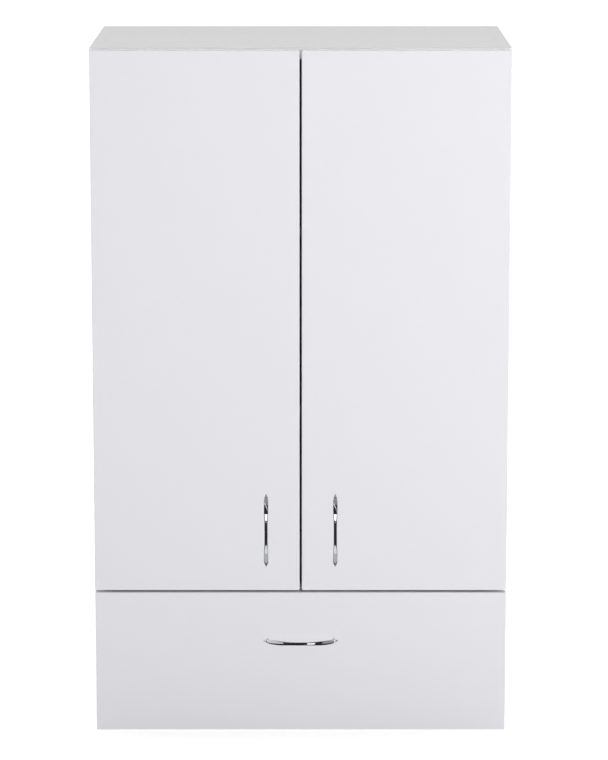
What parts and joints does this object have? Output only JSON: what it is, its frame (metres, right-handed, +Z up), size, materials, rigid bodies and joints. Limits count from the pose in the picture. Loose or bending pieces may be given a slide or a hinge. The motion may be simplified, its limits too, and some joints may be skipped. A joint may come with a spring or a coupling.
{
  "type": "two-door wall cabinet with drawer",
  "caption": "Tall slim white high-gloss cabinet: a pair of full-overlay hinged doors above a full-width drawer, slim chrome bow handles, recessed back with wall hangers.",
  "frame": {"origin": "centre of the footprint of the whole cabinet, handles included, on the plane of its underside", "axes": "+X to the cabinet's right as seen from the front, -Y out of the front of the doors, +Z up"},
  "size_m": [0.6, 0.39, 1],
  "materials": {
    "front_gloss_white": "fibreboard with a high-gloss white lacquer foil",
    "board_white": "particle board with satin white melamine and matching edge banding",
    "back_white": "thin hardboard with a painted white face",
    "handle_chrome": "polished chrome plating",
    "nickel_steel": "pressed steel, nickel plated",
    "zinc_steel": "zinc-plated cold-rolled steel",
    "grey_plastic": "moulded light grey plastic",
    "clear_bumper": "clear soft bumper"
  },
  "bodies": {
    "carcass": {"left_side": "board_white", "right_side": "board_white", "top_panel": "board_white", "bottom_panel": "board_white", "divider": "board_white", "back_panel": "back_white", "lower_shelf": "board_white", "upper_shelf": "board_white", "left_lower_front_shelf_pin": "nickel_steel", "left_lower_rear_shelf_pin": "nickel_steel", "left_upper_front_shelf_pin": "nickel_steel", "left_upper_rear_shelf_pin": "nickel_steel", "right_lower_front_shelf_pin": "nickel_steel", "right_lower_rear_shelf_pin": "nickel_steel", "right_upper_front_shelf_pin": "nickel_steel", "right_upper_rear_shelf_pin": "nickel_steel", "left_hanger_housing": "grey_plastic", "right_hanger_housing": "grey_plastic", "left_hanger_hook": "zinc_steel", "right_hanger_hook": "zinc_steel", "left_lower_hinge_plate": "nickel_steel", "left_upper_hinge_plate": "nickel_steel", "right_lower_hinge_plate": "nickel_steel", "right_upper_hinge_plate": "nickel_steel", "left_lower_hinge_arm": "nickel_steel", "left_upper_hinge_arm": "nickel_steel", "right_lower_hinge_arm": "nickel_steel", "right_upper_hinge_arm": "nickel_steel", "left_cabinet_slide": "zinc_steel", "right_cabinet_slide": "zinc_steel"},
    "left_door": {"left_door": "front_gloss_white", "left_door_handle": "handle_chrome", "left_lower_hinge_cup": "nickel_steel", "left_upper_hinge_cup": "nickel_steel", "left_lower_hinge_pin": "zinc_steel", "left_upper_hinge_pin": "zinc_steel", "left_upper_door_bumper": "clear_bumper", "left_lower_door_bumper": "clear_bumper"},
    "right_door": {"right_door": "front_gloss_white", "right_door_handle": "handle_chrome", "right_lower_hinge_cup": "nickel_steel", "right_upper_hinge_cup": "nickel_steel", "right_lower_hinge_pin": "zinc_steel", "right_upper_hinge_pin": "zinc_steel", "right_upper_door_bumper": "clear_bumper", "right_lower_door_bumper": "clear_bumper"},
    "drawer": {"drawer_front": "front_gloss_white", "drawer_handle": "handle_chrome", "drawer_box_front": "board_white", "left_drawer_side": "board_white", "right_drawer_side": "board_white", "drawer_back": "board_white", "drawer_bottom": "back_white", "left_drawer_bumper": "clear_bumper", "right_drawer_bumper": "clear_bumper", "left_drawer_slide": "zinc_steel", "right_drawer_slide": "zinc_steel"},
    "left_slide_middle": {"left_middle_slide": "zinc_steel"},
    "right_slide_middle": {"right_middle_slide": "zinc_steel"}
  },
  "joints": [
    {"name": "left_door_hinge", "type": "hinge", "parent": "carcass", "child": "left_door", "pos_m": [-0.2914, -0.1675, 0.605], "axis": [0, 0, -1], "range_deg": [0, 95]},
    {"name": "right_door_hinge", "type": "hinge", "parent": "carcass", "child": "right_door", "pos_m": [0.2914, -0.1675, 0.605], "axis": [0, 0, 1], "range_deg": [0, 95]},
    {"name": "drawer_slide", "type": "slide", "parent": "carcass", "child": "drawer", "axis": [0, -1, 0], "range_m": [0, 0.29]},
    {"name": "left_middle_slide_travel", "type": "slide", "parent": "carcass", "child": "left_slide_middle", "axis": [0, -1, 0], "range_m": [0, 0.145]},
    {"name": "right_middle_slide_travel", "type": "slide", "parent": "carcass", "child": "right_slide_middle", "axis": [0, -1, 0], "range_m": [0, 0.145]}
  ],
  "couplings": [
    {"joint": "left_middle_slide_travel", "follows": "drawer_slide", "ratio": 0.5},
    {"joint": "right_middle_slide_travel", "follows": "drawer_slide", "ratio": 0.5}
  ]
}
